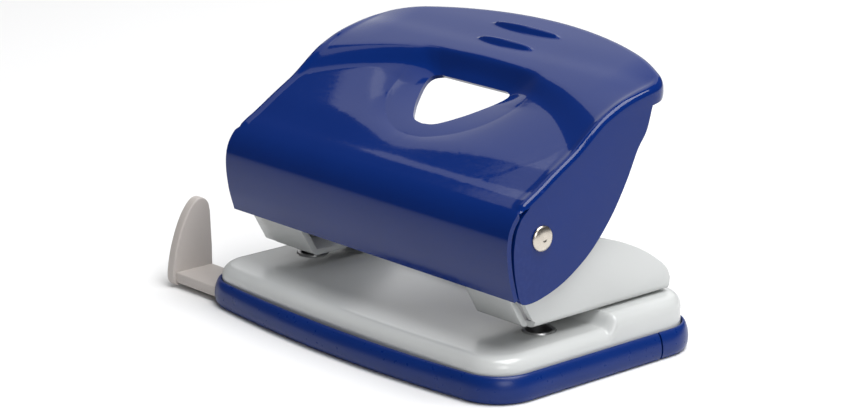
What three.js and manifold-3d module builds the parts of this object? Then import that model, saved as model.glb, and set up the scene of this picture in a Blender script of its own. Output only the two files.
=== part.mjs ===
// A desk hole punch for two holes 80 mm apart. Millimetres, +Z up, +X to the user's right,
// -Y towards the user. The origin is on the desk, under the middle of the punch.
import * as THREE from "three";
import { mergeVertices } from "three/addons/utils/BufferGeometryUtils.js";
import Module from "manifold-3d";

const wasm = await Module();
wasm.setup();

// Driving dimensions
const GAP = 0.3; // left between pieces that touch
const HOLE_X = 40; // half of the 80 mm hole spacing
const HOLE_Y = -6; // punch axis, 12 mm in front of the paper stop
const STOP_Y = 6;
const PIN_R = 2.8;
const DIE_R = 3.85; // outer radius of the die ring

const FLOOR_T = 1;
const RIM_Z = 6.4;
const HINGE_Y = 19.8; // film hinge of the chip tray
const SLIT = 0.5;

const PLATE_Z = 10; // where the paper lies
const PLATFORM_Z = 13;
const SKIRT_Z = 5.8;
const PLATE_T = 1.3;

const SHEET_T = 1.4; // bracket sheet
const BRACKET_IN = 28.95;
const BRACKET_OUT = 46.25;
const BRACKET_Z = 13.35;
const BRACKET_REAR = 29.4;
const LIP_FOOT_Y = -14.4;
const LIP_TOP = [-20.5, 24.2];
const SHELF_Z = 23.6; // upper guide of the punch pin
const RIVET_Y = [13.5, 23.5];
const RIVET_X = 37.6;
const RIVET_R = 1.6; // shanks of the foot rivets

const PIVOT = [-14.6, 35.25];
const PIVOT_R = 2; // shank of the pivot rivet
const SHELL_T = 1.2; // handle sheet
const SHELL_HALF = 49.8;
const RIM_DROP = 7;
const REAR_Y = 34.4;
const REAR_R = 119;
const REAR_CORNER_R = 7;
const PRESS_BAR_Z = 43.75;
const PRESS_BAR_R = 2;
const PIN_TOP = PRESS_BAR_Z - PRESS_BAR_R - GAP;
const PIN_TIP = 13.9;
const PIN_HEAD_T = 2;
const PIN_HEAD_R = 4;
const SPRING_R = 3.6;
const WIRE_R = 0.4;
const SPRING_TURNS = 6;

const GUIDE_Y = [-29.1, -17.8]; // width of the paper guide's bar
const GUIDE_Z = [1.3, 3.9];
const FIN_X = [-67.6, -64.9];
const GUIDE_END_X = 36;
const GUIDE_END_R = 3;
const STRAP_X = [-42, -16]; // left edges of the straps over the bar
const STRAP_W = 4;

// Outline of the chip tray's floor, seen from above
const TRAY = { half: 53.5, front: -34.6, rear: 35, corner: 11.3, bow: 2.8 };
const TRAY_HOLLOW = { half: 51.6, front: -32.2, rear: 33.6, corner: 9.4, bow: 2.2 };
const PLATE = { half: 51.3, front: -31.5, rear: 33.2, corner: 9, bow: 1.8 };

// Materials
const paint = (color, roughness) => new THREE.MeshStandardMaterial({ color, roughness, metalness: 0.1 });
const BLUE_PAINT = paint(0x0a1f6b, 0.15);
const BLUE_PLASTIC = paint(0x0b2f86, 0.35);
const GREY_PAINT = paint(0xcdd1d2, 0.3);
const GREY_PLASTIC = paint(0xbdb5b0, 0.45);
const NICKEL = new THREE.MeshStandardMaterial({ color: 0xcfc6b8, roughness: 0.25, metalness: 1 });
const STEEL = new THREE.MeshStandardMaterial({ color: 0x9a9a9c, roughness: 0.35, metalness: 1 });

// Solids
function solid(geometry) {
  const bare = new THREE.BufferGeometry().setAttribute("position", geometry.getAttribute("position"));
  if (geometry.index) bare.setIndex(geometry.index);
  const closed = mergeVertices(bare, 1e-4);
  return new wasm.Manifold(
    new wasm.Mesh({
      numProp: 3,
      vertProperties: new Float32Array(closed.attributes.position.array),
      triVerts: new Uint32Array(closed.index.array),
    }),
  );
}

function geometryOf(body) {
  const mesh = body.getMesh();
  const geometry = new THREE.BufferGeometry();
  geometry.setAttribute("position", new THREE.BufferAttribute(new Float32Array(mesh.vertProperties), 3));
  geometry.setIndex(new THREE.BufferAttribute(new Uint32Array(mesh.triVerts), 1));
  geometry.computeVertexNormals();
  return geometry;
}

const outline = (points) => new THREE.Shape(points.map(([a, b]) => new THREE.Vector2(a, b)));
const union = (...bodies) => bodies.reduce((a, b) => a.add(b));
const cut = (body, ...tools) => tools.reduce((a, b) => a.subtract(b), body);

// A shape drawn in Y and Z, pushed along X
function alongX(shape, x0, x1, curveSegments = 12) {
  const geometry = new THREE.ExtrudeGeometry(shape, { depth: x1 - x0, bevelEnabled: false, curveSegments });
  const turn = new THREE.Matrix4().makeBasis(
    new THREE.Vector3(0, 1, 0),
    new THREE.Vector3(0, 0, 1),
    new THREE.Vector3(1, 0, 0),
  );
  return solid(geometry.applyMatrix4(turn).translate(x0, 0, 0));
}

// A shape drawn in X and Y, pushed along Z; round is the radius of its upper and lower edges
function alongZ(shape, z0, z1, round = 0, curveSegments = 6) {
  const geometry = new THREE.ExtrudeGeometry(shape, {
    depth: z1 - z0 - 2 * round,
    bevelEnabled: round > 0,
    bevelThickness: round,
    bevelSize: round,
    bevelOffset: -round,
    bevelSegments: 3,
    curveSegments,
  });
  return solid(geometry.translate(0, 0, z0 + round));
}

function box([x0, x1], [y0, y1], [z0, z1]) {
  const geometry = new THREE.BoxGeometry(x1 - x0, y1 - y0, z1 - z0);
  return solid(geometry.translate((x0 + x1) / 2, (y0 + y1) / 2, (z0 + z1) / 2));
}

function rodZ(x, y, z0, z1, radius, sides = 24) {
  const geometry = new THREE.CylinderGeometry(radius, radius, z1 - z0, sides).rotateX(Math.PI / 2);
  return solid(geometry.translate(x, y, (z0 + z1) / 2));
}

function rodX(y, z, x0, x1, radius, sides = 24) {
  const geometry = new THREE.CylinderGeometry(radius, radius, x1 - x0, sides).rotateZ(Math.PI / 2);
  return solid(geometry.translate((x0 + x1) / 2, y, z));
}

// A turned piece: profile of [radius, height] pairs, height along Z
function turned(profile, sides = 24) {
  const points = profile.map(([r, z]) => new THREE.Vector2(r, z));
  return solid(new THREE.LatheGeometry(points, sides).rotateX(Math.PI / 2));
}

// Rectangle with round corners and a front edge that bows towards the user
function footprint({ half, front, rear, corner, bow }) {
  const x = half - corner;
  const frontY = front + bow;
  const shape = new THREE.Shape();
  shape.moveTo(-x, frontY);
  shape.quadraticCurveTo(0, front - bow, x, frontY);
  shape.absarc(x, frontY + corner, corner, -Math.PI / 2, 0, false);
  shape.absarc(x, rear - corner, corner, 0, Math.PI / 2, false);
  shape.absarc(-x, rear - corner, corner, Math.PI / 2, Math.PI, false);
  shape.absarc(-x, frontY + corner, corner, Math.PI, 1.5 * Math.PI, false);
  return shape;
}

const BIG = 200;
const group = new THREE.Group();
function add(name, body, material) {
  const mesh = new THREE.Mesh(geometryOf(body), material);
  mesh.name = name;
  group.add(mesh);
}

// Chip tray: one moulding with a film hinge near the back, drawn as its two stiff ends
function trayShell() {
  const outer = alongZ(footprint(TRAY), 0, RIM_Z, 1);
  const hollow = alongZ(footprint(TRAY_HOLLOW), FLOOR_T, RIM_Z + 1);
  return cut(outer, hollow);
}

// Two straps on the tray's floor hold the bar of the paper guide
function guideStraps() {
  const wall = 1;
  const y = [GUIDE_Y[0] - GAP, GUIDE_Y[1] + GAP];
  const top = GUIDE_Z[1] + GAP;
  return STRAP_X.map((x) =>
    cut(
      box([x, x + STRAP_W], [y[0] - wall, y[1] + wall], [FLOOR_T / 2, top + wall]),
      box([x - 1, x + STRAP_W + 1], y, [FLOOR_T, top]),
    ),
  );
}

const tray = trayShell();
const frontHalf = box([-BIG, BIG], [-BIG, HINGE_Y - SLIT / 2], [-1, BIG]);
const rearHalf = box([-BIG, BIG], [HINGE_Y + SLIT / 2, BIG], [-1, BIG]);
const guideSlot = box(
  [-TRAY.half - 1, -TRAY_HOLLOW.half + 8],
  [GUIDE_Y[0] - GAP, GUIDE_Y[1] + GAP],
  [FLOOR_T, GUIDE_Z[1] + GAP],
);
const chipTray = cut(union(tray.intersect(frontHalf), ...guideStraps()), guideSlot);
add("chip_tray", chipTray, BLUE_PLASTIC);
add("tray_rear_clip", tray.intersect(rearHalf), BLUE_PLASTIC);

// Paper guide: a flat bar that slides out to the left, with an upright fin for the paper's edge
function paperGuide() {
  const fin = new THREE.Shape();
  fin.moveTo(GUIDE_Y[1], GUIDE_Z[0]);
  fin.lineTo(-18.3, 18.4);
  fin.bezierCurveTo(-18.6, 21.8, -23.6, 23.2, -26.2, 17.2);
  fin.bezierCurveTo(-29, 11.4, -30.1, 6.4, -30.1, 2.6);
  fin.bezierCurveTo(-30.1, 1.1, -29.4, 0.4, -28.4, 0.4);
  fin.lineTo(-27.4, GUIDE_Z[0]);
  const bar = new THREE.Shape();
  bar.moveTo(FIN_X[0] + 1, GUIDE_Y[0]);
  bar.lineTo(GUIDE_END_X - GUIDE_END_R, GUIDE_Y[0]);
  bar.absarc(GUIDE_END_X - GUIDE_END_R, GUIDE_Y[0] + GUIDE_END_R, GUIDE_END_R, -Math.PI / 2, 0, false);
  bar.absarc(GUIDE_END_X - GUIDE_END_R, GUIDE_Y[1] - GUIDE_END_R, GUIDE_END_R, 0, Math.PI / 2, false);
  bar.lineTo(FIN_X[0] + 1, GUIDE_Y[1]);
  return union(alongX(fin, FIN_X[0], FIN_X[1], 8), alongZ(bar, GUIDE_Z[0], GUIDE_Z[1]));
}
add("paper_guide", paperGuide(), GREY_PLASTIC);

// Base plate: a pressed pan with a raised platform behind the paper stop
function basePlate() {
  const round = 3;
  const roundPlatform = 2;
  const inset = PLATE_T;
  const platformOutline = { ...PLATE, front: STOP_Y, corner: 4, bow: 0 };
  const inner = {
    ...PLATE,
    half: PLATE.half - inset,
    front: PLATE.front + inset,
    rear: PLATE.rear - inset,
  };
  const innerPlatform = { ...inner, front: STOP_Y + inset, corner: 3, bow: 0 };
  const low = SKIRT_Z - round;
  const slab = alongZ(footprint(PLATE), low, PLATE_Z, round);
  const platform = alongZ(footprint(platformOutline), low, PLATFORM_Z, roundPlatform).intersect(
    alongZ(footprint(PLATE), low, PLATFORM_Z, roundPlatform),
  );
  const hollowPlatform = alongZ(footprint(innerPlatform), 0, PLATFORM_Z - PLATE_T).intersect(
    alongZ(footprint(inner), 0, PLATFORM_Z),
  );
  const holes = [-1, 1].flatMap((side) => [
    rodZ(side * HOLE_X, HOLE_Y, 0, PLATFORM_Z, DIE_R + GAP),
    ...RIVET_Y.map((y) => rodZ(side * RIVET_X, y, 0, PLATFORM_Z + 1, RIVET_R + 0.2)),
  ]);
  return cut(
    union(slab, platform).intersect(box([-BIG, BIG], [-BIG, BIG], [SKIRT_Z, BIG])),
    alongZ(footprint(inner), 0, PLATE_Z - PLATE_T),
    hollowPlatform,
    ...holes,
  );
}
add("base_plate", basePlate(), GREY_PAINT);

// Bracket for one punch: foot, front lip, side plate and the pin's upper guide, bent from one sheet
function bracket(side) {
  const inX = BRACKET_OUT - SHEET_T;
  const slotX = inX - 1.2; // a slot keeps the lip clear of the side plate
  const [py, pz] = PIVOT;
  const foot = box([BRACKET_IN, BRACKET_OUT], [LIP_FOOT_Y, BRACKET_REAR], [BRACKET_Z, BRACKET_Z + SHEET_T]);
  const lip = alongX(
    outline([
      [LIP_FOOT_Y, BRACKET_Z],
      [LIP_FOOT_Y + SHEET_T * 1.2, BRACKET_Z],
      [LIP_TOP[0] + SHEET_T * 1.2, LIP_TOP[1]],
      LIP_TOP,
    ]),
    BRACKET_IN,
    slotX,
  );
  const profile = new THREE.Shape();
  profile.moveTo(-12, BRACKET_Z);
  profile.lineTo(BRACKET_REAR - 0.4, BRACKET_Z);
  profile.lineTo(BRACKET_REAR + 0.2, 16.4);
  profile.bezierCurveTo(BRACKET_REAR, 18, 18, 29, 4, 31);
  profile.lineTo(-5, 32.6);
  profile.absarc(py, pz, 6, -0.15, Math.PI * 1.12, false);
  const plate = alongX(profile, inX, BRACKET_OUT, 6);
  const shelf = box([34, inX + 0.5], [-11.5, -0.5], [SHELF_Z, SHELF_Z + SHEET_T]);
  const body = cut(
    union(foot, lip, plate, shelf),
    rodZ(HOLE_X, HOLE_Y, 0, 30, PIN_R + 0.15),
    rodX(py, pz, 30, 50, PIVOT_R + 0.2),
    ...RIVET_Y.map((y) => rodZ(RIVET_X, y, 0, 20, RIVET_R + 0.2)),
  );
  return side > 0 ? body : body.mirror([1, 0, 0]);
}

// Height of the handle's upper face over Y, from its front edge over the wing to the back
const SHELL_POINTS = [
  [-22.4, 22.2],
  [-24.6, 33.4],
  [-22.7, 40.5],
  [-15.8, 45.3],
  [-5.7, 51.7],
  [3, 57.6],
  [16.2, 63.1],
  [REAR_Y + 1, 68.5],
];

function sheetProfile(from, to, outward, inward, steps = 26) {
  const curve = new THREE.SplineCurve(SHELL_POINTS.map(([y, z]) => new THREE.Vector2(y, z)));
  const rail = (offset) =>
    Array.from({ length: steps + 1 }, (_, i) => {
      const t = from + ((to - from) * i) / steps;
      const p = curve.getPoint(t);
      const d = curve.getTangent(t);
      return [p.x - d.y * offset, p.y + d.x * offset];
    });
  return [...rail(outward), ...rail(-inward).reverse()];
}

// Handle outline from above: straight sides and a back edge that bows away from the user
function handlePlan(inset) {
  const half = SHELL_HALF - inset;
  const corner = REAR_CORNER_R - inset;
  const radius = REAR_R - inset;
  const cy = REAR_Y - REAR_R;
  const reach = radius - corner;
  const cx = half - corner;
  const cornerY = cy + Math.sqrt(reach * reach - cx * cx);
  const lean = Math.asin(cx / reach);
  const shape = new THREE.Shape();
  shape.moveTo(-half, -40);
  shape.lineTo(half, -40);
  shape.absarc(cx, cornerY, corner, 0, Math.PI / 2 - lean, false);
  shape.absarc(0, cy, radius, Math.PI / 2 - lean, Math.PI / 2 + lean, false);
  shape.absarc(-cx, cornerY, corner, Math.PI / 2 + lean, Math.PI, false);
  return shape;
}

function windowShape() {
  const shape = new THREE.Shape();
  shape.moveTo(4.6, -4);
  shape.lineTo(12.9, 7.2);
  shape.quadraticCurveTo(14.4, 10.7, 11.2, 10.7);
  shape.lineTo(-11.2, 10.7);
  shape.quadraticCurveTo(-14.4, 10.7, -12.9, 7.2);
  shape.lineTo(-4.6, -4);
  shape.quadraticCurveTo(0, -6.6, 4.6, -4);
  return shape;
}

function cheek(side) {
  const shape = new THREE.Shape();
  shape.moveTo(-20.6, 21.7);
  shape.bezierCurveTo(-21.8, 25, -23.4, 33, -21.6, 39);
  shape.lineTo(-15.2, 44.8);
  shape.lineTo(-5.4, 51);
  shape.lineTo(3.2, 57);
  shape.lineTo(20, 63.8);
  shape.lineTo(19.5, 57.7);
  shape.bezierCurveTo(11.5, 48, 13, 35, -2, 27.3);
  shape.quadraticCurveTo(-11, 22, -18.8, 21.2);
  const inner = SHELL_HALF - SHELL_T;
  return side > 0 ? alongX(shape, inner, SHELL_HALF, 8) : alongX(shape, -SHELL_HALF, -inner, 8);
}

function handle() {
  const [py, pz] = PIVOT;
  const plan = alongZ(handlePlan(0), 0, 100);
  const ring = cut(plan, alongZ(handlePlan(SHELL_T), -1, 101));
  const sheet = alongX(outline(sheetProfile(0, 1, 0, SHELL_T)), -SHELL_HALF, SHELL_HALF);
  const band = alongX(outline(sheetProfile(0.82, 1, 0, RIM_DROP, 6)), -SHELL_HALF, SHELL_HALF);
  return cut(
    union(sheet.intersect(plan), ring.intersect(band), cheek(-1), cheek(1)),
    alongZ(windowShape(), 30, 90, 0, 5),
    rodX(py, pz, -60, 60, PIVOT_R + 0.2),
  );
}
add("handle", handle(), BLUE_PAINT);

const pressBarHalf = SHELL_HALF - SHELL_T - GAP;
add("press_bar", rodX(HOLE_Y, PRESS_BAR_Z, -pressBarHalf, pressBarHalf, PRESS_BAR_R), STEEL);

class Helix extends THREE.Curve {
  constructor(radius, low, high, turns) {
    super();
    Object.assign(this, { radius, low, high, turns });
  }
  getPoint(t, target = new THREE.Vector3()) {
    const a = 2 * Math.PI * this.turns * t;
    const z = this.low + (this.high - this.low) * t;
    return target.set(this.radius * Math.cos(a), this.radius * Math.sin(a), z);
  }
}

function spring() {
  const low = SHELF_Z + SHEET_T + WIRE_R + 0.1;
  const high = PIN_TOP - PIN_HEAD_T - WIRE_R - 0.1;
  const wire = new THREE.Shape().absarc(0, 0, WIRE_R, 0, 2 * Math.PI, false);
  const path = new Helix(SPRING_R, low, high, SPRING_TURNS);
  return solid(
    new THREE.ExtrudeGeometry(wire, { steps: 12 * SPRING_TURNS, curveSegments: 3, extrudePath: path }),
  );
}

function die() {
  const bore = PIN_R + 0.1;
  const flange = 8.4;
  const low = 7.6;
  const top = 10.3;
  return turned([
    [bore, low],
    [5, low],
    [5, flange],
    [DIE_R, flange],
    [DIE_R, top],
    [bore, top],
    [bore, low],
  ]);
}

function punchPin() {
  return turned([
    [0, PIN_TIP + 0.8],
    [PIN_R, PIN_TIP],
    [PIN_R, PIN_TOP - PIN_HEAD_T],
    [PIN_HEAD_R, PIN_TOP - PIN_HEAD_T],
    [PIN_HEAD_R, PIN_TOP - 0.4],
    [PIN_HEAD_R - 0.5, PIN_TOP],
    [0, PIN_TOP],
  ]);
}

// Rivet through the bracket's foot and the platform
function footRivet() {
  const under = PLATFORM_Z - PLATE_T - GAP;
  const top = BRACKET_Z + SHEET_T + GAP;
  const profile = [
    [0, under - 1],
    [2.6, under - 1],
    [2.6, under],
    [RIVET_R, under],
    [RIVET_R, top],
    [3, top],
    [2.4, top + 0.9],
    [0, top + 1.2],
  ];
  return turned(profile, 16);
}

// Pivot: a washer between cheek and bracket, and a rivet through all three
function pivotRivet() {
  const outer = SHELL_HALF + 0.15;
  const inner = BRACKET_OUT - SHEET_T - GAP;
  return turned([
    [0, inner - 1],
    [3, inner - 1],
    [3, inner],
    [PIVOT_R, inner],
    [PIVOT_R, outer],
    [2.9, outer],
    [2.7, outer + 0.6],
    [1.6, outer + 1],
    [0, outer + 1.15],
  ]);
}

function pivotWasher() {
  const bore = PIVOT_R + 0.2;
  const rim = 4.2;
  const near = BRACKET_OUT + GAP;
  const far = SHELL_HALF - SHELL_T - GAP;
  return turned([
    [bore, near],
    [rim, near],
    [rim, far],
    [bore, far],
    [bore, near],
  ]);
}

for (const [name, side] of [
  ["left", -1],
  ["right", 1],
]) {
  const atPunch = (body) => body.translate([side * HOLE_X, HOLE_Y, 0]);
  const atPivot = (body) => body.rotate([0, side * 90, 0]).translate([0, PIVOT[0], PIVOT[1]]);
  add(name + "_bracket", bracket(side), GREY_PAINT);
  add(name + "_die", atPunch(die()), STEEL);
  add(name + "_punch_pin", atPunch(punchPin()), STEEL);
  add(name + "_pin_spring", atPunch(spring()), STEEL);
  RIVET_Y.forEach((y, i) => {
    add(name + "_bracket_rivet_" + (i + 1), footRivet().translate([side * RIVET_X, y, 0]), NICKEL);
  });
  add(name + "_pivot_rivet", atPivot(pivotRivet()), NICKEL);
  add(name + "_pivot_washer", atPivot(pivotWasher()), STEEL);
}

export default group;
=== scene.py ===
# Looks of the desk hole punch: a gloss blue handle over light grey brackets and base plate.
import math
import bmesh
import bpy
import numpy as np
from mathutils import Matrix, Vector


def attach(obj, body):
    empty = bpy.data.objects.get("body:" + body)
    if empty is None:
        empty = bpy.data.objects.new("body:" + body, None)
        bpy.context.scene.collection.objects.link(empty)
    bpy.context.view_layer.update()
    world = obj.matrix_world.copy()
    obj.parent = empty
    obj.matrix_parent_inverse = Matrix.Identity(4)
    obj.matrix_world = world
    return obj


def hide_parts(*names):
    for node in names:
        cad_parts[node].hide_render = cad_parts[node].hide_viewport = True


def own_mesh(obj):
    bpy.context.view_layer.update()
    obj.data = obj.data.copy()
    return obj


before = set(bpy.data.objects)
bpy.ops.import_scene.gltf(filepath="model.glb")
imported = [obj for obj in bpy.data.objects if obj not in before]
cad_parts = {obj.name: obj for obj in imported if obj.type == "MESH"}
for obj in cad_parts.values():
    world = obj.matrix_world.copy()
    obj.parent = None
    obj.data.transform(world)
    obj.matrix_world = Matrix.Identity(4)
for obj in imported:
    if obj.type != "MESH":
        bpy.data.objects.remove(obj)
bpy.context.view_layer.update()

MM = 0.001

# Sizes and places of the pieces, in millimetres
HOLE_X, HOLE_Y = 40.0, -6.0
PIVOT_Y, PIVOT_Z, RIVET_HOLE_R = -14.6, 35.25, 2.15
HINGE_Y, SLIT = 19.8, 0.5
PLATE_Z, PLATFORM_Z, SKIRT_Z, PLATE_T = 10.0, 13.0, 5.9, 1.3
BRACKET_IN, BRACKET_OUT, BRACKET_Z, SHEET_T = 28.95, 46.25, 13.35, 1.4
SLOT_X = 43.6  # the lip ends here, and the side plate's slot begins
SHELF_Z = 23.6
RIVET_X, RIVET_Y = 37.6, (13.5, 23.5)
SHELL_HALF, SHELL_T = 49.8, 1.2
PRESS_BAR_Z, PRESS_BAR_R = 43.75, 2.0
PIN_TOP, PIN_TIP, PIN_R, PIN_HEAD_R, PIN_HEAD_T = 41.45, 13.9, 2.8, 4.0, 2.0
SPRING_R, WIRE_R, SPRING_TURNS = 3.6, 0.4, 6
GUIDE_Y, GUIDE_Z, GUIDE_END_X, GUIDE_END_R = (-29.1, -17.8), (1.3, 3.9), 36.0, 3.0
FIN_X = (-67.6, -64.9)
TRAY = dict(half=53.5, front=-34.6, rear=35.0, corner=11.3, bow=2.8)
TRAY_HOLLOW = dict(half=51.6, front=-32.2, rear=33.6, corner=9.4, bow=2.2)
PLATE = dict(half=51.3, front=-31.5, rear=33.2, corner=9.0, bow=1.8)
TRAY_FLOOR, GUIDE_GAP = 1.0, 0.3
QUARTER = math.pi / 2


# ---------------------------------------------------------------- materials
class Nodes:
    """A node material that is built up a line at a time."""

    def __init__(self, name):
        self.material = bpy.data.materials.new(name)
        self.material.use_nodes = True
        self.tree = self.material.node_tree
        self.shader = self.tree.nodes["Principled BSDF"]
        self.coords = self.add("ShaderNodeTexCoord").outputs["Object"]

    def add(self, kind, **values):
        node = self.tree.nodes.new(kind)
        for key, value in values.items():
            if hasattr(node, key):
                setattr(node, key, value)
            else:
                node.inputs[key.replace("_", " ")].default_value = value
        return node

    def link(self, a, b):
        self.tree.links.new(a, b)

    def set(self, **values):
        for key, value in values.items():
            self.shader.inputs[key.replace("_", " ")].default_value = value

    def noise(self, scale, detail=3.0, roughness=0.5):
        node = self.add("ShaderNodeTexNoise", Scale=scale, Detail=detail, Roughness=roughness)
        self.link(self.coords, node.inputs["Vector"])
        return node.outputs["Fac"]

    def ramp(self, source, low, high, a=0.0, b=1.0):
        node = self.add("ShaderNodeMapRange")
        for key, value in (("From Min", a), ("From Max", b), ("To Min", low), ("To Max", high)):
            node.inputs[key].default_value = value
        self.link(source, node.inputs["Value"])
        return node.outputs["Result"]

    def mix(self, factor, a, b):
        node = self.add("ShaderNodeMix", data_type="RGBA")
        self.link(factor, node.inputs["Factor"])
        for socket, value in ((node.inputs[6], a), (node.inputs[7], b)):
            if isinstance(value, tuple):
                socket.default_value = (*value, 1)
            else:
                self.link(value, socket)
        return node.outputs[2]

    def edge_wear(self, low=0.57, high=0.68):
        """0 on flat faces, 1 on sharp outer edges, broken up by fine noise."""
        point = self.add("ShaderNodeNewGeometry").outputs["Pointiness"]
        edge = self.ramp(point, 0.0, 1.0, low, high)
        spots = self.ramp(self.noise(900.0, 4.0), 0.0, 1.0, 0.45, 0.65)
        node = self.add("ShaderNodeMath", operation="MULTIPLY")
        self.link(edge, node.inputs[0])
        self.link(spots, node.inputs[1])
        return node.outputs[0]

    def bump(self, height, strength, distance):
        node = self.add("ShaderNodeBump", Strength=strength, Distance=distance)
        self.link(height, node.inputs["Height"])
        self.link(node.outputs["Normal"], self.shader.inputs["Normal"])


def enamel(name, color, shade, bare, rough, peel, ior):
    """Stoved gloss paint on sheet steel: slight orange peel, dust, thin paint along the edges."""
    m = Nodes(name)
    cloud = m.ramp(m.noise(35.0, 2.0), 0.0, 1.0, 0.3, 0.7)
    base = m.mix(cloud, color, shade)
    m.link(m.mix(m.edge_wear(), base, bare), m.shader.inputs["Base Color"])
    dust = m.ramp(m.noise(1400.0, 5.0, 0.7), rough - 0.03, rough + 0.07, 0.35, 0.75)
    m.link(dust, m.shader.inputs["Roughness"])
    m.set(IOR=ior)
    m.bump(m.noise(420.0, 2.0), peel, 0.0004)
    return m.material


def plastic(name, color, shade, rough, grain, strength):
    """Moulded plastic with a fine spark-eroded grain and slightly paler rubbed edges."""
    m = Nodes(name)
    cloud = m.ramp(m.noise(60.0, 3.0), 0.0, 1.0, 0.3, 0.7)
    pale = tuple(min(1.0, c * 1.25 + 0.002) for c in color)
    m.link(m.mix(m.edge_wear(), m.mix(cloud, color, shade), pale), m.shader.inputs["Base Color"])
    m.link(m.ramp(m.noise(700.0, 4.0), rough - 0.05, rough + 0.08), m.shader.inputs["Roughness"])
    m.set(IOR=1.36)
    m.bump(m.noise(grain, 4.0, 0.6), strength, 0.0002)
    return m.material


def metal(name, color, shade, rough, brushed):
    """Bare or plated steel, with fine brush lines along one direction where brushed is above 0."""
    m = Nodes(name)
    cloud = m.ramp(m.noise(90.0, 4.0), 0.0, 1.0, 0.35, 0.7)
    m.link(m.mix(cloud, color, shade), m.shader.inputs["Base Color"])
    m.set(Metallic=1.0)
    stretch = m.add("ShaderNodeMapping")
    stretch.inputs["Scale"].default_value = (400.0, 400.0, 4000.0)
    m.link(m.coords, stretch.inputs["Vector"])
    lines = m.add("ShaderNodeTexNoise", Scale=1.0, Detail=4.0)
    m.link(stretch.outputs["Vector"], lines.inputs["Vector"])
    m.link(m.ramp(lines.outputs["Fac"], rough - 0.06, rough + 0.1), m.shader.inputs["Roughness"])
    m.bump(lines.outputs["Fac"], brushed, 0.0001)
    return m.material


LOOKS = {
    "blue_paint": enamel(
        "blue_paint",
        (0.0010, 0.0180, 0.140), (0.0008, 0.0162, 0.128), (0.01, 0.03, 0.17),
        rough=0.07, peel=0.02, ior=1.35,
    ),
    "grey_paint": enamel(
        "grey_paint",
        (0.555, 0.568, 0.563), (0.53, 0.543, 0.538), (0.62, 0.63, 0.62),
        rough=0.2, peel=0.03, ior=1.5,
    ),
    "blue_plastic": plastic(
        "blue_plastic",
        (0.0012, 0.020, 0.145), (0.001, 0.018, 0.132),
        rough=0.28, grain=1600.0, strength=0.05,
    ),
    "grey_plastic": plastic(
        "grey_plastic",
        (0.50, 0.46, 0.435), (0.47, 0.435, 0.41),
        rough=0.42, grain=2200.0, strength=0.2,
    ),
    "nickel": metal("nickel", (0.62, 0.57, 0.5), (0.5, 0.45, 0.39), rough=0.24, brushed=0.1),
    "steel": metal("steel", (0.46, 0.46, 0.46), (0.36, 0.36, 0.36), rough=0.34, brushed=0.25),
}


# ---------------------------------------------------------------- mesh tools
def new_object(name, bm):
    bmesh.ops.recalc_face_normals(bm, faces=bm.faces[:])
    mesh = bpy.data.meshes.new(name)
    bm.to_mesh(mesh)
    bm.free()
    obj = bpy.data.objects.new(name, mesh)
    bpy.context.scene.collection.objects.link(obj)
    return obj


def apply_modifiers(obj):
    """Turns the object's modifiers into mesh."""
    bpy.context.view_layer.update()
    done = bpy.data.meshes.new_from_object(obj.evaluated_get(bpy.context.evaluated_depsgraph_get()))
    obj.modifiers.clear()
    old = obj.data
    obj.data = done
    bpy.data.meshes.remove(old)
    return obj


def solidify(obj, thickness, even=False):
    """Gives a sheet its thickness, away from the side its faces look to."""
    mod = obj.modifiers.new("sheet", "SOLIDIFY")
    mod.thickness, mod.offset, mod.use_even_offset = thickness * MM, -1.0, even
    return apply_modifiers(obj)


def soften(obj, width, segments=3, angle=35.0):
    mod = obj.modifiers.new("edges", "BEVEL")
    mod.width, mod.segments, mod.angle_limit = width * MM, segments, math.radians(angle)
    mod.limit_method = "ANGLE"
    mod.use_clamp_overlap = True
    return apply_modifiers(obj)


def boolean(obj, other, operation):
    mod = obj.modifiers.new("cut", "BOOLEAN")
    mod.object, mod.operation, mod.solver = other, operation, "EXACT"
    apply_modifiers(obj)
    bpy.data.objects.remove(other)
    return obj


def finish_piece(obj, slot, body, *nodes, angle=40.0):
    """Smooth shading, material, and the body and CAD nodes that the piece stands for."""
    obj.data.materials.clear()
    obj.data.materials.append(LOOKS[slot])
    obj.data.shade_smooth()
    obj.data.set_sharp_from_angle(angle=math.radians(angle))
    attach(obj, body)
    if nodes:
        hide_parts(*nodes)
    return obj


def add_loop(bm, points):
    return [bm.verts.new(Vector(p) * MM) for p in points]


def bridge(bm, a, b, closed=True):
    n = len(a)
    for i in range(n if closed else n - 1):
        j = (i + 1) % n
        bm.faces.new((a[i], a[j], b[j], b[i]))


def loft(loops, cap=(True, True)):
    """Closed loops of points joined one to the next, with flat ends."""
    bm = bmesh.new()
    rings = [add_loop(bm, loop) for loop in loops]
    for a, b in zip(rings, rings[1:]):
        bridge(bm, a, b)
    if cap[0]:
        bm.faces.new(rings[0][::-1])
    if cap[1]:
        bm.faces.new(rings[-1])
    return bm


def prism(points, axis, low, high):
    """A flat outline pushed along an axis: "x" takes (y, z) points, "z" takes (x, y) points."""
    place = {"x": lambda a, b, t: (t, a, b), "z": lambda a, b, t: (a, b, t)}[axis]
    return loft([[place(a, b, t) for a, b in points] for t in (low, high)])


def box(name, x, y, z):
    outline = [(x[0], y[0]), (x[1], y[0]), (x[1], y[1]), (x[0], y[1])]
    return new_object(name, prism(outline, "z", z[0], z[1]))


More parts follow.
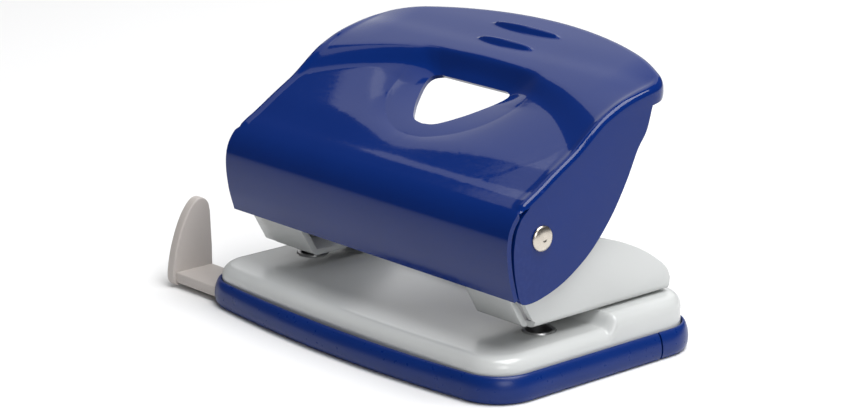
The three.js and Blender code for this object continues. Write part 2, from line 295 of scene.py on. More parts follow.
def turned(name, profile, turn=Matrix.Identity(4), at=(0, 0, 0), segments=56):
    """A turned piece from [radius, height] points; where the radius is 0 the surface closes."""
    bm = bmesh.new()
    rows = []
    for r, z in profile:
        if r < 1e-6:
            rows.append([bm.verts.new((0, 0, z * MM))])
        else:
            angles = [2 * math.pi * i / segments for i in range(segments)]
            rows.append(add_loop(bm, [(r * math.cos(a), r * math.sin(a), z) for a in angles]))
    closed = profile[0][0] > 1e-6
    for a, b in zip(rows, rows[1:] + rows[:1] if closed else rows[1:]):
        if len(a) == 1 or len(b) == 1:
            tip, ring = (a[0], b) if len(a) == 1 else (b[0], a)
            for i in range(segments):
                bm.faces.new((tip, ring[i], ring[(i + 1) % segments]))
        else:
            bridge(bm, a, b)
    bm.transform(Matrix.Translation(Vector(at) * MM) @ turn)
    return new_object(name, bm)


def round_corners(points, radius, steps=6):
    """Rounds each corner of a closed outline with a curve that starts radius before it."""
    out = []
    n = len(points)
    for i in range(n):
        p, a, b = (Vector(points[k % n]) for k in (i, i - 1, i + 1))
        r = min(radius, (a - p).length * 0.45, (b - p).length * 0.45)
        s, e = p + (a - p).normalized() * r, p + (b - p).normalized() * r
        for k in range(steps + 1):
            t = k / steps
            out.append(tuple((1 - t) ** 2 * s + 2 * t * (1 - t) * p + t * t * e))
    return out


def smooth_curve(points, count):
    """Evenly spaced points on a smooth curve through the given points."""
    pts = np.array(points, float)
    ends = np.vstack([2 * pts[0] - pts[1], pts, 2 * pts[-1] - pts[-2]])
    dense = []
    for i in range(1, len(ends) - 2):
        p0, p1, p2, p3 = ends[i - 1 : i + 3]
        t = np.linspace(0, 1, 24, endpoint=i == len(ends) - 3)[:, None]
        square, cube = 2 * p0 - 5 * p1 + 4 * p2 - p3, 3 * p1 - p0 - 3 * p2 + p3
        dense.append(0.5 * (2 * p1 + (p2 - p0) * t + square * t**2 + cube * t**3))
    dense = np.vstack(dense)
    length = np.r_[0, np.cumsum(np.linalg.norm(np.diff(dense, axis=0), axis=1))]
    at = np.linspace(0, length[-1], count)
    return np.stack([np.interp(at, length, dense[:, k]) for k in range(dense.shape[1])], 1)


def footprint(half, front, rear, corner, bow, arc=12, side=16):
    """Closed outline from above, anticlockwise from the front left: bowed front, round corners."""
    xc = half - corner
    lean = 0.0
    for _ in range(8):
        xs = xc + corner * math.sin(lean)
        lean = math.atan(2 * bow * xs / xc**2)
    yc = front + bow * (xs / xc) ** 2 + corner * math.cos(lean)
    xf = xc + corner * math.sin(lean)
    points = []
    for i in range(4 * side):
        x = -xf + 2 * xf * i / (4 * side)
        points.append((x, front + bow * (x / xf * xs / xc) ** 2))
    for cx, cy, a0, a1 in (
        (xc, yc, lean - math.pi / 2, 0),
        (xc, rear - corner, 0, math.pi / 2),
        (-xc, rear - corner, math.pi / 2, math.pi),
        (-xc, yc, math.pi, 1.5 * math.pi - lean),
    ):
        angles = np.linspace(a0, a1, arc + 1)
        arc_points = [(cx + corner * math.cos(a), cy + corner * math.sin(a)) for a in angles]
        after_straight = abs(a0) < 1e-9 or a0 > 1
        step = np.linspace(points[-1], arc_points[0], side + 1)[1:-1] if after_straight else []
        points += [tuple(p) for p in step] + arc_points
    return np.array(points[:-1])


def plan_edges(half, front, rear, corner, bow, inset):
    """Front and rear edge of a footprint as functions of x."""
    xc, r = half - corner, corner - inset
    lean = math.atan(2 * bow / xc)
    yc = front + bow + corner * math.cos(lean)
    xf = xc + r * math.sin(lean)
    yf = yc - r * math.cos(lean)

    def arc(x):
        return math.sqrt(max(r * r - (abs(x) - xc) ** 2, 0))

    def front_edge(x):
        middle = front + inset
        return yc - arc(x) if abs(x) > xf else middle + (yf - middle) * (x / xf) ** 2

    def rear_line(x):
        return rear - corner + (arc(x) if abs(x) > xc else r)

    return front_edge, rear_line


# ---------------------------------------------------------------- base plate
STOP_Y, STOP_RUN = 4.9, 3.0
PLATE_EDGE_R = 3.0
DIE_HOLE_R = 3.95


def plate_height(y):
    """Top of the plate: paper bed in front, platform behind the paper stop."""
    t = np.clip((y - STOP_Y) / STOP_RUN, 0, 1)
    return PLATE_Z + (PLATFORM_Z - PLATE_Z) * t * t * (3 - 2 * t)


def plate_top(bm):
    """The plate's upper face inside its rounded edge; returns the vertices round its border."""
    front_edge, rear_line = plan_edges(**PLATE, inset=PLATE_EDGE_R)
    half = PLATE["half"] - PLATE_EDGE_R
    xs = half * np.sin(np.linspace(-1, 1, 121) * math.pi / 2)
    bed, step, platform = np.linspace(-28.5, 1, 24), np.linspace(1, 12, 36), np.linspace(12, 30.2, 16)
    ys = np.concatenate([bed[:-1], step[:-1], platform])
    vs = (ys - ys[0]) / (ys[-1] - ys[0])
    grid = []
    for v in vs:
        row = []
        for x in xs:
            y0, y1 = front_edge(x), rear_line(x)
            y = y0 + (y1 - y0) * v
            row.append(bm.verts.new(Vector((x, y, plate_height(y))) * MM))
        grid.append(row)
    for a, b in zip(grid, grid[1:]):
        bridge(bm, a, b, closed=False)
    right, left = [row[-1] for row in grid[1:-1]], [row[0] for row in grid[-2:0:-1]]
    return grid[0] + right + grid[-1][::-1] + left


def base_plate():
    bm = bmesh.new()
    border = plate_top(bm)
    p = np.array([[v.co.x, v.co.y] for v in border]) / MM
    along = np.roll(p, -1, 0) - np.roll(p, 1, 0)
    out = np.stack([along[:, 1], -along[:, 0]], 1) / np.linalg.norm(along, axis=1)[:, None]
    previous = border
    for angle in np.linspace(0, QUARTER, 9)[1:]:
        q = p + out * PLATE_EDGE_R * math.sin(angle)
        z = plate_height(q[:, 1]) - PLATE_EDGE_R * (1 - math.cos(angle))
        loop = add_loop(bm, np.column_stack([q, z]))
        bridge(bm, previous, loop)
        previous = loop
    for z in (6.6, SKIRT_Z):
        loop = add_loop(bm, np.column_stack([q, np.full(len(q), z)]))
        bridge(bm, previous, loop)
        previous = loop
    plate = solidify(new_object("base_plate_shell", bm), PLATE_T, even=True)
    for side in (-1, 1):
        cutter = [(0, 5), (DIE_HOLE_R, 5), (DIE_HOLE_R, 12), (0, 12)]
        hole = turned("hole", cutter, at=(side * HOLE_X, HOLE_Y, 0), segments=48)
        boolean(plate, hole, "DIFFERENCE")
    return finish_piece(plate, "grey_paint", "base", "base_plate", angle=50)


# ---------------------------------------------------------------- chip tray
# Wall section of the tray: share of the way from outer to inner outline, and height
TRAY_SECTION = [
    (1.0, 0.0), (0.72, 0.03), (0.42, 0.25), (0.2, 0.75), (0.06, 1.5), (0.0, 2.4), (0.03, 3.4),
    (0.14, 4.5), (0.32, 5.4), (0.54, 6.05), (0.74, 6.35), (0.88, 6.38), (0.98, 6.2), (1.02, 5.8),
    (1.02, 1.6), (1.1, 1.15), (1.35, 1.0),
]
STRAP_XS, STRAP_W = (-42, -16), 4


def tray_part(name, low, high):
    """The part of the tray moulding that lies between two depths."""
    outer, inner = footprint(**TRAY), footprint(**TRAY_HOLLOW)
    loops = [[(*(o + (i - o) * w), z) for o, i in zip(outer, inner)] for w, z in TRAY_SECTION]
    keep = box("keep", (-80, 80), (low, high), (-5, 30))
    return boolean(new_object(name, loft(loops)), keep, "INTERSECT")


def chip_tray():
    part = tray_part("chip_tray_shell", -60, HINGE_Y - SLIT / 2)
    top, y0, y1 = GUIDE_Z[1] + GUIDE_GAP, GUIDE_Y[0] - GUIDE_GAP, GUIDE_Y[1] + GUIDE_GAP
    for x in STRAP_XS:
        section = [(y0 - 1, 0.5), (y1 + 1, 0.5), (y1 + 1, top + 1), (y0 - 1, top + 1)]
        strap = new_object("strap", prism(round_corners(section, 0.6), "x", x, x + STRAP_W))
        boolean(part, strap, "UNION")
        gap = box("gap", (x - 1, x + STRAP_W + 1), (y0, y1), (TRAY_FLOOR, top))
        boolean(part, gap, "DIFFERENCE")
    boolean(part, box("slot", (-56, -46), (y0, y1), (TRAY_FLOOR, top)), "DIFFERENCE")
    return finish_piece(part, "blue_plastic", "tray", "chip_tray", angle=50)


def tray_rear_clip():
    part = tray_part("tray_rear_clip_shell", HINGE_Y + SLIT / 2, 60)
    return finish_piece(part, "blue_plastic", "base", "tray_rear_clip", angle=50)


# ---------------------------------------------------------------- paper guide
def guide_bar():
    """The flat bar, with the corners of its inner end rounded in plan."""
    front, back = GUIDE_Y
    r, start = GUIDE_END_R, FIN_X[0] + 1.2
    turns = np.linspace(0, QUARTER, 9)
    front_corner = [(GUIDE_END_X - r + r * math.sin(a), front + r - r * math.cos(a)) for a in turns]
    back_corner = [(GUIDE_END_X - r + r * math.cos(a), back - r + r * math.sin(a)) for a in turns]
    outline = [(start, front)] + front_corner + back_corner + [(start, back)]
    return soften(new_object("bar", prism(outline, "z", *GUIDE_Z)), 0.35, 3)


def paper_guide():
    back, low = GUIDE_Y[1], GUIDE_Z[0]
    head = smooth_curve(
        [(back - 0.3, 17.6), (-18.7, 20.0), (-20.5, 21.35), (-22.6, 20.9), (-25.0, 18.3), (-27.0, 14.6),
         (-28.7, 10.0), (-29.7, 5.6), (-30.0, 2.8), (-29.6, 1.2), (-28.7, 0.45), (-27.7, 0.5)],
        46,
    )
    outline = [(back, low), (back, 9.0)] + [tuple(p) for p in head] + [(-27.3, low)]
    fin = soften(new_object("paper_guide_body", prism(outline, "x", *FIN_X)), 0.9, 5, 40)
    boolean(fin, guide_bar(), "UNION")
    return finish_piece(fin, "grey_plastic", "guide", "paper_guide", angle=38)


# ---------------------------------------------------------------- handle
# Side view of the outer face, as (y, z), from the front foot to the rear edge
PROFILE = smooth_curve(
    [(-22.4, 22.2), (-23.9, 27.6), (-24.6, 33.4), (-24.1, 37.8), (-22.3, 41.0), (-19.4, 43.4),
     (-15.8, 45.4), (-10.8, 48.4), (-5.7, 51.6), (-1.4, 54.7), (3.0, 57.6), (9.5, 60.6),
     (16.2, 63.2), (21.2, 64.7), (27.6, 66.7), (35.4, 68.7)],
    700,
)
WING = PROFILE[int(np.argmin(PROFILE[:, 0])):]
PROFILE_LENGTH = np.r_[0, np.cumsum(np.linalg.norm(np.diff(PROFILE, axis=0), axis=1))]
WING_LENGTH = PROFILE_LENGTH[-len(WING):]
FOLD_LENGTH = float(np.interp(41.6, PROFILE[:200, 1], PROFILE_LENGTH[:200]))
FOLD_R = 1.4
CORE_HALF = SHELL_HALF - FOLD_R
REAR_Y, REAR_R, REAR_CORNER = 33.9, 110.0, 7.0

# Right halves of the window and of the dish round it, as (x, y)
WINDOW = [
    (0, -5.45), (3.0, -4.9), (5.3, -3.3), (8.2, -0.2), (10.4, 2.8),
    (12.4, 6.0), (13.35, 8.4), (13.1, 9.9), (11.4, 10.7),
]
DISH = [
    (0, -9.8), (5.2, -9.1), (11.6, -6.2), (16.6, -2.0), (19.4, 2.6),
    (20.6, 7.0), (20.8, 10.4), (19.0, 12.6), (15.0, 13.4),
]
WINDOW_MIDDLE = (0.0, 3.6)
WINDOW_PLANE = (52.2, 0.416)  # the window's edge lies at this height and this rise per mm in Y

# The front panel starts with PANEL_LEAD slope, and eases over PANEL_EASE mm to its own slope
PANEL_START, PANEL_LEAD, PANEL_EASE = -13.0, 0.63, 4.5
DISH_SOFT = 0.1
BEAD_HEIGHT, BEAD_WIDTH = 0.3, 1.1
RIB_HEIGHT = 1.15
RIBS = ((20.6, 9.0, 1.7), (27.5, 10.9, 1.8))  # middle in Y, half length, half width

TANGENT_STEP = 0.6

# Rows in front of WING_START run straight across, and a block is meshed round the window
WING_START = -20.0
COLUMNS, CROWDING = 149, 0.86
BLOCK_X, BLOCK_Y = -25.0, (-15.0, 15.6)


def surface(length):
    """Point and unit tangent of the handle's profile at a distance along it, as (y, z) pairs."""
    here, ahead, behind = (
        np.array([np.interp(at, PROFILE_LENGTH, PROFILE[:, k]) for k in (0, 1)])
        for at in (length, length + TANGENT_STEP, length - TANGENT_STEP)
    )
    along = ahead - behind
    return here, along / np.hypot(*along)


def rear_edge(x):
    """How far back the wing's flat face reaches at x: a wide arc with round corners."""
    cx = CORE_HALF - REAR_CORNER
    cy = REAR_Y - REAR_R
    reach = REAR_R - REAR_CORNER
    corner_y = cy + math.sqrt(reach**2 - cx**2)
    turn_x = cx + REAR_CORNER * cx / reach
    x = min(abs(x), CORE_HALF)
    if x < turn_x:
        return cy + math.sqrt(REAR_R**2 - x * x)
    return corner_y + math.sqrt(max(REAR_CORNER**2 - (x - cx) ** 2, 0))


def polar(points):
    """Radius over angle of a mirrored outline around WINDOW_MIDDLE; its last point ends at x = 0."""
    right = [tuple(p) for p in smooth_curve(points, 90)] + [(0, points[-1][1])]
    right = np.vstack([np.linspace(right[i], right[i + 1], 12) for i in range(len(right) - 1)])
    d = right - np.array(WINDOW_MIDDLE)
    angle = np.arctan2(d[:, 0], -d[:, 1])
    order = np.argsort(angle)
    return angle[order], np.hypot(d[:, 0], d[:, 1])[order]


WINDOW_POLAR, DISH_POLAR = polar(WINDOW), polar(DISH)


def wing_height(y):
    return np.interp(y, WING[:, 0], WING[:, 1])


def sheet_z(x, y):
    """Height of the outer face: front panel, then an arched step up to the wing."""
    foot = 11.9 - 0.0074 * x * x
    crest = 14.6 - 0.0040 * x * x
    if y <= PANEL_START or y >= crest:
        return wing_height(y)
    slope = 0.486 + 0.08 * (x / SHELL_HALF) ** 2
    panel = wing_height(PANEL_START)
    if y <= foot:
        reach = y - PANEL_START
        bend = min(reach, PANEL_EASE)
        return panel + slope * reach + (PANEL_LEAD - slope) * (bend - bend * bend / (2 * PANEL_EASE))
    foot_z = panel + slope * (foot - PANEL_START) + (PANEL_LEAD - slope) * PANEL_EASE / 2
    crest_slope = wing_height(crest + 0.5) - wing_height(crest - 0.5)
    width = crest - foot
    t = (y - foot) / width
    h00, h10 = 2 * t**3 - 3 * t**2 + 1, t**3 - 2 * t**2 + t
    h01, h11 = 3 * t**2 - 2 * t**3, t**3 - t**2
    return h00 * foot_z + h10 * width * slope + h01 * wing_height(crest) + h11 * width * crest_slope


def clamped(value):
    return min(max(value, 0.0), 1.0)


def dish_depth(x, y, base):
    """How far the dish and its approach lie below the sheet, whose height is base."""
    angle = math.atan2(abs(x), WINDOW_MIDDLE[1] - y)
    r = math.hypot(x, y - WINDOW_MIDDLE[1])
    inner, outer = np.interp(angle, *WINDOW_POLAR), np.interp(angle, *DISH_POLAR)
    t = (outer - r) / (outer - inner)
    if t <= -3:
        return 0.0
    ramp = DISH_SOFT * math.log1p(math.exp(min(t / DISH_SOFT, 40.0)))
    full = DISH_SOFT * math.log1p(math.exp(1 / DISH_SOFT))
    approach = 0.95 * math.exp(min(t, 0) / 0.75) * clamped((11.0 - y) / 6.0)
    floor = WINDOW_PLANE[0] + WINDOW_PLANE[1] * y
    return approach + (base - floor - approach) * min(ramp / full, 1.0)


def corner_drop(x, y):
    """How far the wing's rear corners bend down."""
    side, rear = clamped((abs(x) - 36) / 13), clamped((y - 8) / 14)
    return 1.5 * side * side * rear * rear * (3 - 2 * rear)


def rib_rise(x, y):
    rise = 0.0
    for middle, half, wide in RIBS:
        u = 1 - (x / half) ** 2
        s = abs(y - middle) / (wide * math.sqrt(u)) if u > 0 else 1.0
        if s < 1:
            rise += RIB_HEIGHT * u**0.35 * (0.5 + 0.5 * math.cos(math.pi * s))
    return rise


def wing_z(x, y):
    """Height of the outer face with the dish, the beads along the sides and the grip ribs."""
    z = sheet_z(x, y)
    z -= dish_depth(x, y, z)
    z += BEAD_HEIGHT * math.exp(-(((abs(x) - CORE_HALF) / BEAD_WIDTH) ** 2))
    z -= corner_drop(x, y)
    return z + rib_rise(x, y)


def handle_grid():
    """Rows of outer face points from foot to rear edge, their place along PROFILE, and the block."""
    spread = np.linspace(-1, 1, COLUMNS) * QUARTER * CROWDING
    core = CORE_HALF * np.sin(spread) / math.sin(QUARTER * CROWDING)
    core[0], core[-1] = -CORE_HALF, CORE_HALF
    wing_y = np.concatenate([
        np.linspace(WING_START, 17.6, 56)[:-1],
        np.linspace(17.6, 31.0, 48)[:-1],
        np.linspace(31.0, REAR_Y, 6),
    ])
    front = np.linspace(0, float(np.interp(WING_START, WING[:, 0], WING_LENGTH)), 44)[:-1]
    rows = []
    for length in front:
        (y, z), _ = surface(length)
        rows.append([(x, y, z) for x in core])
    shares = (wing_y - WING_START) / (wing_y[-1] - WING_START)
    for share in shares:
        ys = [WING_START + (rear_edge(x) - WING_START) * share for x in core]
        rows.append([(x, y, wing_z(x, y)) for x, y in zip(core, ys)])
    side_y = WING_START + (rear_edge(CORE_HALF) - WING_START) * shares
    lengths = np.concatenate([front, np.interp(side_y, WING[:, 0], WING_LENGTH)])
    low_row, high_row = (len(front) + int(np.argmin(abs(wing_y - y))) for y in BLOCK_Y)
    low_column = int(np.argmin(abs(core - BLOCK_X)))
    return rows, lengths, (low_row, high_row, low_column, COLUMNS - 1 - low_column)


def sheet_outside_block(bm, rows, block):
    """The grid of the sheet without the block round the window; returns its vertices by row and column."""
    r0, r1, c0, c1 = block
    verts = {}
    for i, row in enumerate(rows):
        for j, point in enumerate(row):
            if not (r0 < i < r1 and c0 < j < c1):
                verts[i, j] = bm.verts.new(Vector(point) * MM)
    for i in range(len(rows) - 1):
        for j in range(COLUMNS - 1):
            if not (r0 <= i < r1 and c0 <= j < c1):
                bm.faces.new((verts[i, j], verts[i, j + 1], verts[i + 1, j + 1], verts[i + 1, j]))
    return verts


def rings_round_window(bm, verts, rows, block):
    """Fills the block with rings that follow the dish, then the window."""
    r0, r1, c0, c1 = block
    border = [(r0, j) for j in range(c0, c1)] + [(i, c1) for i in range(r0, r1)]
    border += [(r1, j) for j in range(c1, c0, -1)] + [(i, c0) for i in range(r1, r0, -1)]
    previous = [verts[key] for key in border]
    outside = np.array([rows[i][j][:2] for i, j in border])
    middle = np.array(WINDOW_MIDDLE)
    d = outside - middle
    angle = np.arctan2(np.abs(d[:, 0]), -d[:, 1])
    unit = d / np.linalg.norm(d, axis=1)[:, None]
    at_dish = middle + unit * np.interp(angle, *DISH_POLAR)[:, None]
    at_window = middle + unit * np.interp(angle, *WINDOW_POLAR)[:, None]
    limit = at_window + (at_dish - at_window) * 1.2
    rings = [outside + (limit - outside) * t for t in (0.3, 0.55, 0.75, 0.88)]
    shares = (1.12, 1.05, 1.0, 0.96, 0.92, 0.87, 0.8, 0.7, 0.58, 0.46, 0.34, 0.22, 0.12, 0.05, 0.0)
    rings += [at_window + (at_dish - at_window) * t for t in shares]
    for q in rings:
        ring = add_loop(bm, [(x, y, wing_z(x, y)) for x, y in q])
        bridge(bm, previous, ring)
        previous = ring


def edge_frames(p, edge, lengths, last_row):
    """At each edge point: outward and upward directions, share of the fold, and share of the rear roll."""
    out, up, fold, back = [], [], [], []
    for k, (i, j) in enumerate(edge):
        rear = i == last_row
        along = p[min(k + 1, len(p) - 1)] - p[max(k - 1, 0)]
        flat = np.array([-along[1], along[0], 0.0]) if rear else np.array([-1.0 if j == 0 else 1.0, 0, 0])
        flat /= np.linalg.norm(flat)
        _, (ty, tz) = surface(lengths[i])
        normal = np.array([0, -tz, ty])
        share = min(1.0, min(j, COLUMNS - 1 - j) / 14.0) if rear else 0.0
        lifted = flat - normal * np.dot(flat, normal) * (1 - 0.6 * share)
        lifted /= np.linalg.norm(lifted)
        across = normal
        if rear:
            across = np.cross(lifted, along / np.linalg.norm(along))
            across *= np.sign(across[2]) if abs(across[2]) > 1e-9 else 1
        out.append(lifted)
        up.append(across / np.linalg.norm(across))
        fold.append(1.0 if rear else clamped((lengths[i] - FOLD_LENGTH) / 3.5))
        back.append(share)
    fold, back = np.array(fold)[:, None], np.array(back)[:, None]
    return np.array(out), np.array(up), fold * fold * (3 - 2 * fold), back


def cheek(bm, fold_line, corner):
    """Flat plate that closes one side below the fold."""
    foot = corner[-1].co / MM
    lower = smooth_curve(
        [(foot.y, foot.z), (17.3, 53.7), (14.6, 49.9), (11.4, 43.6), (7.3, 37.0), (2.6, 31.4),
         (-2.0, 27.4), (-8.2, 23.7), (-14.4, 21.6), (-18.6, 21.05), (-20.7, 21.7), (-21.7, 24.4),
         (-22.6, 29.1), (-22.8, 33.7), (-22.0, 38.0), (-20.6, 40.6)],
        90,
    )[1:]
    bm.faces.new(fold_line + corner[1:] + add_loop(bm, [(foot.x, y, z) for y, z in lower]))


def handle():
    """Outer face of the handle: sheet, folded sides, rolled rear edge with its hem, and cheeks."""
    bm = bmesh.new()
    rows, lengths, block = handle_grid()
    verts = sheet_outside_block(bm, rows, block)
    rings_round_window(bm, verts, rows, block)

    last_row = len(rows) - 1
    edge = [(i, 0) for i in range(len(rows))] + [(last_row, j) for j in range(1, COLUMNS)]
    edge += [(i, COLUMNS - 1) for i in range(last_row - 1, -1, -1)]
    p = np.array([rows[i][j] for i, j in edge])
    out, up, fold, back = edge_frames(p, edge, lengths, last_row)

    folded = [verts[key] for key in edge]
    reach, depth = FOLD_R + 0.5 * back, FOLD_R + 1.8 * back
    for angle in np.linspace(0, QUARTER, 8)[1:]:
        rolled = p + out * reach * math.sin(angle) - up * depth * (1 - math.cos(angle))
        level = p + out * (FOLD_R - 0.25) * (angle / QUARTER)
        ring = add_loop(bm, level + (rolled - level) * fold)
        bridge(bm, folded, ring, closed=False)
        folded = ring

    left, right = last_row, len(edge) - len(rows)
    hem = [folded[left : right + 1]]
    for angle in np.linspace(0, math.radians(82), 7)[1:]:
        tucked = out * (2.2 * back) * (1 - math.cos(angle))
        points = rolled - up * (2.6 + 1.1 * back) * math.sin(angle) - tucked
        hem.append(add_loop(bm, points[left : right + 1]))
        bridge(bm, hem[-2], hem[-1], closed=False)

    start = next(k for k in range(len(edge)) if fold[k, 0] > 0.999)
    stop = len(edge) - 1 - start
    cheek(bm, folded[start : left + 1], [row[0] for row in hem])
    cheek(bm, folded[right : stop + 1][::-1], [row[-1] for row in hem])
    shell = new_object("handle_shell", bm)
    shell.data.validate()
    return shell


def handle_piece():
    shell = handle()
    # The outer face looks up in the middle of the wing
    top = max(shell.data.polygons, key=lambda f: f.center.z)
    if top.normal.z < 0:
        shell.data.flip_normals()
    solidify(shell, SHELL_T)
    for side in (-1, 1):
        turn = Matrix.Rotation(QUARTER, 4, "Y")
        cutter = [(0, -3), (RIVET_HOLE_R, -3), (RIVET_HOLE_R, 3), (0, 3)]
        hole = turned("hole", cutter, turn, (side * SHELL_HALF, PIVOT_Y, PIVOT_Z), 40)
        boolean(shell, hole, "DIFFERENCE")
    return finish_piece(shell, "blue_paint", "handle", "handle", angle=48)


# ---------------------------------------------------------------- brackets
BEND_R = 1.6
LIP_LEAN = math.atan2(24.2 - BRACKET_Z, 20.5 - 14.4)
LIP_LENGTH = 10.2
FOOT_FRONT = -14.4 + BEND_R * math.tan(LIP_LEAN / 2)
LEFT_LIP_EXTRA = 1.0
# Upper edge of the side plate as (y, z), from the rear foot over the pivot's ear to the front foot
SIDE_PLATE_TOP = [
    (29.35, 16.4), (28.3, 18.7), (25.4, 21.3), (21.4, 24.0), (16.7, 26.5), (11.7, 28.5), (6.4, 30.2),
    (0.0, 31.4), (-5.2, 32.4), (-8.6, 36.2), (-11.0, 40.0), (-14.6, 41.2), (-18.2, 40.0), (-20.5, 36.5),
    (-20.4, 30.0), (-19.9, 26.0), (-18.0, 22.6), (-16.1, 19.2), (-13.9, 15.4),
]


def lip_and_foot():
    """Section of the leaning lip, its bend and the foot's front end, and of the foot, as (y, z)."""
    bend = []
    for t in np.linspace(0, 1, 8):
        a = LIP_LEAN * (1 - t)
        bend.append((FOOT_FRONT - BEND_R * math.sin(a), BRACKET_Z + BEND_R * (1 - math.cos(a))))
    tip = np.array(bend[0])
    away = np.array([-math.cos(LIP_LEAN), math.sin(LIP_LEAN)])
    lip = [tuple(tip + away * s) for s in np.linspace(LIP_LENGTH, 0, 12)[:-1]]
    foot = [(y, BRACKET_Z) for y in np.linspace(FOOT_FRONT + 0.4, 29.2, 42)]
    return lip, bend, foot


def widen_lip(bm, rows):
    """Carries the left bracket's lip out past its side plate."""
    shift = Vector(((BRACKET_OUT + LEFT_LIP_EXTRA - SLOT_X) * MM, 0, 0))
    inner = [row[-1] for row in rows]
    outer = [bm.verts.new(v.co + shift) for v in inner]
    for i in range(len(rows) - 1):
        bm.faces.new((inner[i], outer[i], outer[i + 1], inner[i + 1]))


def side_plate(bm, foot_edge):
    """Bends up from the foot's outer edge and ends in the side plate."""
    ys = [v.co.y / MM for v in foot_edge]
    previous = foot_edge
    for a in np.linspace(0, QUARTER, 8):
        x = BRACKET_OUT - BEND_R + BEND_R * math.sin(a)
        z = BRACKET_Z + BEND_R * (1 - math.cos(a))
        ring = add_loop(bm, [(x, y, z) for y in ys])
        bridge(bm, previous, ring, closed=False)
        previous = ring
    upper = add_loop(bm, [(BRACKET_OUT, y, z) for y, z in smooth_curve(SIDE_PLATE_TOP, 90)])
    bm.faces.new(previous + upper)


def bracket(side):
    """Foot, lip and side plate bent from one sheet, with a slot between lip and side plate."""
    bm = bmesh.new()
    lip, bend, foot = lip_and_foot()
    xs = np.linspace(BRACKET_IN, SLOT_X, 12)
    rows = [[bm.verts.new(Vector((x, y, z)) * MM) for x in xs] for y, z in lip + bend + foot]
    for a, b in zip(rows, rows[1:]):
        bridge(bm, a, b, closed=False)
    if side == "left":
        widen_lip(bm, rows[: len(lip) + 3])
    side_plate(bm, [row[-1] for row in rows[-len(foot) :]])
    sheet = new_object(f"{side}_bracket_sheet", bm)
    low = min(sheet.data.polygons, key=lambda f: f.center.z)
    if low.normal.z > 0:
        sheet.data.flip_normals()
    solidify(sheet, SHEET_T)
    shelf = round_corners([(33.5, -11.5), (45.6, -11.5), (45.6, -0.5), (33.5, -0.5)], 2.5)
    boolean(sheet, new_object("shelf", prism(shelf, "z", SHELF_Z, SHELF_Z + SHEET_T)), "UNION")
    r = PIN_R + 0.15
    hole = turned("hole", [(0, 10), (r, 10), (r, 30), (0, 30)], at=(HOLE_X, HOLE_Y, 0))
    boolean(sheet, hole, "DIFFERENCE")
    soften(sheet, 0.22, 2, 50)
    if side == "left":
        sheet.data.transform(Matrix.Scale(-1, 4, (1, 0, 0)))
        sheet.data.flip_normals()
    return finish_piece(sheet, "grey_paint", "base", f"{side}_bracket", angle=45)


# ---------------------------------------------------------------- turned pieces and springs
def die_ring(side, x):
    clear = PIN_R + 0.12
    ring = [
        (clear, 7.6), (5, 7.6), (5, 8.4), (3.8, 8.4), (3.8, 10.15), (3.65, 10.35), (3.35, 10.42),
        (clear + 0.2, 10.3), (clear, 10.1),
    ]
    finish_piece(turned(f"{side}_die_ring", ring, at=(x, HOLE_Y, 0)), "steel", "base", f"{side}_die")


def punch_pin(side, x):
    under_head = PIN_TOP - PIN_HEAD_T
    pin = [
        (0, PIN_TIP + 0.9), (PIN_R - 0.1, PIN_TIP), (PIN_R, PIN_TIP + 0.1), (PIN_R, under_head - 0.3),
        (PIN_R + 0.3, under_head), (PIN_HEAD_R - 0.2, under_head), (PIN_HEAD_R, under_head + 0.2),
        (PIN_HEAD_R, PIN_TOP - 0.5), (PIN_HEAD_R - 0.5, PIN_TOP), (0, PIN_TOP),
    ]
    piece = turned(f"{side}_punch", pin, at=(x, HOLE_Y, 0))
    finish_piece(piece, "steel", f"{side}_pin", f"{side}_punch_pin")


def spring_rise(wound, low, high):
    """Height of the wire after so many turns: closed end turns, open turns between."""
    turns = SPRING_TURNS + 2
    rise = np.clip((wound - 0.9) / (turns - 1.8), 0, 1)
    closed = min(wound, 0.9) + max(wound - turns + 0.9, 0)
    return low + 2 * WIRE_R * 0.95 * closed + rise * (high - low - 3.42 * WIRE_R)


def pin_spring(side, x):
    low, high = SHELF_Z + SHEET_T + WIRE_R, PIN_TOP - PIN_HEAD_T - WIRE_R
    turns = SPRING_TURNS + 2
    count = 30 * turns
    place, upward = np.array([x, HOLE_Y, 0]), np.array([0, 0, 1])
    loops = []
    for i in range(count + 1):
        t = i / count
        a = 2 * math.pi * turns * t
        radial = np.array([math.cos(a), math.sin(a), 0])
        centre = SPRING_R * radial + spring_rise(t * turns, low, high) * upward
        loops.append([
            tuple(centre + WIRE_R * (radial * math.cos(b) + upward * math.sin(b)) + place)
            for b in np.linspace(0, 2 * math.pi, 10, endpoint=False)
        ])
    coil = new_object(f"{side}_coil_spring", loft(loops))
    finish_piece(coil, "steel", "base", f"{side}_pin_spring", angle=60)
    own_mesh(coil)


def foot_rivets(side, sign):
    under, top = PLATFORM_Z - PLATE_T - 0.3, BRACKET_Z + SHEET_T + 0.02
    rivet = [
        (0, under - 1.0), (2.0, under - 0.9), (2.6, under - 0.4), (2.6, under), (1.6, under), (1.6, top),
        (3.0, top), (2.95, top + 0.35), (2.5, top + 0.8), (1.7, top + 1.08), (0.8, top + 1.18),
        (0, top + 1.2),
    ]
    for i, y in enumerate(RIVET_Y, 1):
        piece = turned(f"{side}_foot_rivet_{i}", rivet, at=(sign * RIVET_X, y, 0))
        finish_piece(piece, "nickel", "base", f"{side}_bracket_rivet_{i}")


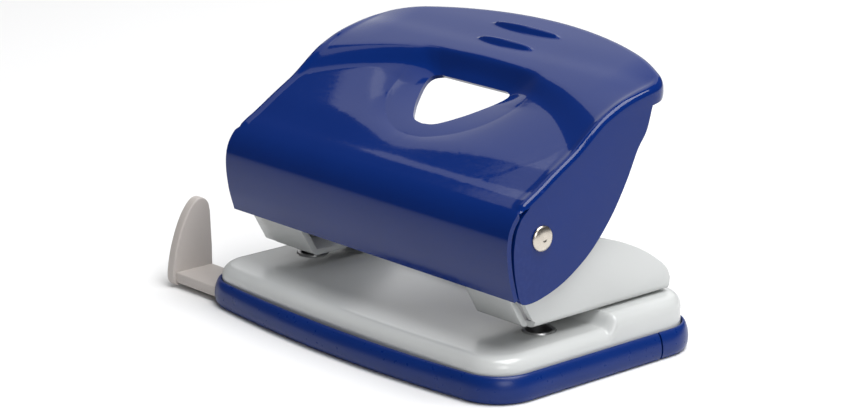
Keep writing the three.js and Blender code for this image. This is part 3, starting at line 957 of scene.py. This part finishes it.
def pivot(side, sign):
    """Rivet through cheek and side plate, with the spacer between them."""
    turn = Matrix.Rotation(sign * QUARTER, 4, "Y")
    at = (0, PIVOT_Y, PIVOT_Z)
    inner, outer = BRACKET_OUT - SHEET_T - 0.02, SHELL_HALF + 0.03
    rivet = [
        (0, inner - 1.0), (2.2, inner - 0.9), (3.0, inner - 0.3), (3.0, inner), (2.0, inner), (2.0, outer),
        (2.85, outer), (2.92, outer + 0.12), (2.9, outer + 0.3), (2.75, outer + 0.5), (2.3, outer + 0.72),
        (1.6, outer + 0.88), (0.85, outer + 0.95), (0.62, outer + 0.93), (0.5, outer + 0.84),
        (0.3, outer + 0.82), (0, outer + 0.82),
    ]
    piece = turned(f"{side}_rivet_head", rivet, turn, at, 64)
    finish_piece(piece, "nickel", "base", f"{side}_pivot_rivet", angle=55)
    a, b = BRACKET_OUT + 0.05, SHELL_HALF - SHELL_T - 0.05
    washer = [(2.2, a), (4.0, a), (4.2, a + 0.2), (4.2, b - 0.2), (4.0, b), (2.2, b)]
    finish_piece(turned(f"{side}_spacer", washer, turn, at), "steel", "base", f"{side}_pivot_washer")


def press_bar():
    turn = Matrix.Rotation(QUARTER, 4, "Y")
    end = SHELL_HALF - SHELL_T - 0.1
    r = PRESS_BAR_R
    rod = [
        (0, -end), (r + 0.5, -end), (r + 0.35, -end + 0.5), (r, -end + 0.9),
        (r, end - 0.9), (r + 0.35, end - 0.5), (r + 0.5, end), (0, end),
    ]
    finish_piece(turned("press_rod", rod, turn, (0, HOLE_Y, PRESS_BAR_Z)), "steel", "handle", "press_bar")


base_plate()
chip_tray()
tray_rear_clip()
paper_guide()
handle_piece()
press_bar()
for side, sign in (("left", -1), ("right", 1)):
    bracket(side)
    die_ring(side, sign * HOLE_X)
    punch_pin(side, sign * HOLE_X)
    pin_spring(side, sign * HOLE_X)
    foot_rivets(side, sign)
    pivot(side, sign)


# ---------------------------------------------------------------- floor, light, camera
LIGHT_AIM = (0, 0, 0.03)
CAMERA_PLACE = (0.4764, -0.4207, 0.2130)
AZIMUTH, ELEVATION, ROLL = math.radians(48.76), math.radians(16.12), math.radians(-0.34)
SENSOR_WIDTH, LENS = 36.0, 118.9


def studio_floor():
    bm = bmesh.new()
    bmesh.ops.create_grid(bm, x_segments=2, y_segments=2, size=3.0)
    floor = new_object("floor", bm)
    m = Nodes("floor")
    m.link(m.mix(m.noise(4.0), (0.86, 0.86, 0.86), (0.83, 0.83, 0.83)), m.shader.inputs["Base Color"])
    m.set(Roughness=0.7)
    floor.data.materials.append(m.material)


def area(name, place, size, power):
    light = bpy.data.lights.new(name, "AREA")
    light.shape, light.size, light.size_y, light.energy = "RECTANGLE", *size, power
    obj = bpy.data.objects.new(name, light)
    obj.location = place
    obj.rotation_euler = (Vector(place) - Vector(LIGHT_AIM)).to_track_quat("Z", "Y").to_euler()
    bpy.context.scene.collection.objects.link(obj)


def lights():
    area("overhead", (0.32, 0.15, 1.0), (0.8, 0.7), 14.5)
    area("upper_left", (-0.34, 0.02, 0.98), (0.36, 0.9), 0.9)
    area("left_rear", (-0.587, 0.613, 0.58), (1.0, 0.78), 2.4)
    area("right_fill", (0.95, -0.45, 0.5), (0.5, 0.5), 3.8)
    world = bpy.data.worlds.new("studio")
    world.use_nodes = True
    background = world.node_tree.nodes["Background"].inputs
    background["Color"].default_value = (0.95, 0.96, 1.0, 1)
    background["Strength"].default_value = 0.12
    bpy.context.scene.world = world
    bpy.context.scene.view_settings.view_transform = "Standard"


def camera():
    level = math.cos(ELEVATION)
    back = Vector((math.sin(AZIMUTH) * level, -math.cos(AZIMUTH) * level, math.sin(ELEVATION)))
    right = Vector((math.cos(AZIMUTH), math.sin(AZIMUTH), 0))
    up = back.cross(right)
    turned_right = right * math.cos(ROLL) + up * math.sin(ROLL)
    turned_up = up * math.cos(ROLL) - right * math.sin(ROLL)
    data = bpy.data.cameras.new("camera")
    data.sensor_width, data.lens = SENSOR_WIDTH, LENS
    obj = bpy.data.objects.new("camera", data)
    turn = Matrix((turned_right, turned_up, back)).transposed().to_4x4()
    obj.matrix_world = Matrix.Translation(CAMERA_PLACE) @ turn
    bpy.context.scene.collection.objects.link(obj)
    bpy.context.scene.camera = obj


studio_floor()
lights()
camera()

bpy.context.view_layer.update()
